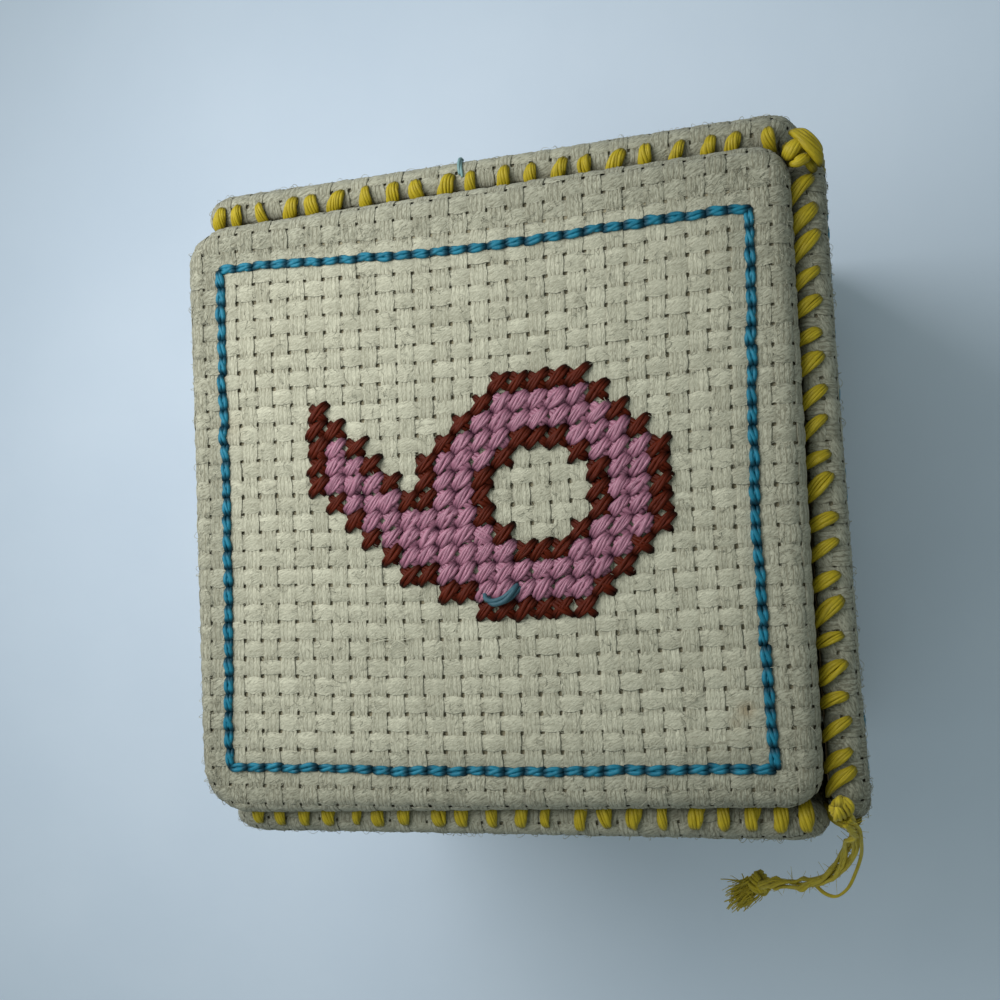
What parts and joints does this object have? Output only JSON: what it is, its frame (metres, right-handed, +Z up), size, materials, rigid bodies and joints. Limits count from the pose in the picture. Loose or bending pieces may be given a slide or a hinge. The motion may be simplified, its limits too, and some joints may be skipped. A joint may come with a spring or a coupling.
{
  "type": "soft number cube",
  "caption": "Soft sewn cube with padded even-weave panels, backstitched borders, cross-stitched numerals, whipped seams and a loose thread end.",
  "frame": {"origin": "middle of the cube's underside, on the plane of its lowest stitches", "axes": "+Z up out of the panel with the 6, +X to that panel's right as pictured, +Y to its top edge, so the loose thread hangs at the +X, -Y corner"},
  "size_m": [0.0838, 0.0984, 0.0838],
  "materials": {
    "aida_cloth": "cream even-weave cotton, handled and a little soiled",
    "wadding": "thin white wadding",
    "card": "plain board",
    "foam": "cut foam",
    "blue_cotton": "blue stranded cotton with a soft sheen",
    "pink_cotton": "mauve pink stranded cotton with a soft sheen",
    "brown_cotton": "red brown stranded cotton",
    "mustard_cotton": "mustard yellow stranded cotton"
  },
  "bodies": {
    "root": {"foam_core": "foam", "aida_top": "aida_cloth", "aida_bottom": "aida_cloth", "aida_front": "aida_cloth", "aida_back": "aida_cloth", "aida_left": "aida_cloth", "aida_right": "aida_cloth", "card_top": "card", "card_bottom": "card", "card_front": "card", "card_back": "card", "card_left": "card", "card_right": "card", "wadding_top": "wadding", "wadding_bottom": "wadding", "wadding_front": "wadding", "wadding_back": "wadding", "wadding_left": "wadding", "wadding_right": "wadding", "border_top": "blue_cotton", "border_bottom": "blue_cotton", "border_front": "blue_cotton", "border_back": "blue_cotton", "border_left": "blue_cotton", "border_right": "blue_cotton", "numeral_one_fill": "pink_cotton", "numeral_one_outline": "brown_cotton", "numeral_two_fill": "pink_cotton", "numeral_two_outline": "brown_cotton", "numeral_three_fill": "pink_cotton", "numeral_three_outline": "brown_cotton", "numeral_four_fill": "pink_cotton", "numeral_four_outline": "brown_cotton", "numeral_five_fill": "pink_cotton", "numeral_five_outline": "brown_cotton", "numeral_six_fill": "pink_cotton", "numeral_six_outline": "brown_cotton", "numeral_six_rim": "brown_cotton", "seam_top_back": "mustard_cotton", "seam_top_front": "mustard_cotton", "seam_top_right": "mustard_cotton", "seam_top_left": "mustard_cotton", "seam_bottom_back": "mustard_cotton", "seam_bottom_front": "mustard_cotton", "seam_bottom_right": "mustard_cotton", "seam_bottom_left": "mustard_cotton", "seam_front_right": "mustard_cotton", "seam_front_left": "mustard_cotton", "seam_back_right": "mustard_cotton", "seam_back_left": "mustard_cotton", "corner_knot": "mustard_cotton", "tail_cord": "mustard_cotton", "tail_knot": "mustard_cotton", "tail_tuft": "mustard_cotton"}
  },
  "joints": []
}
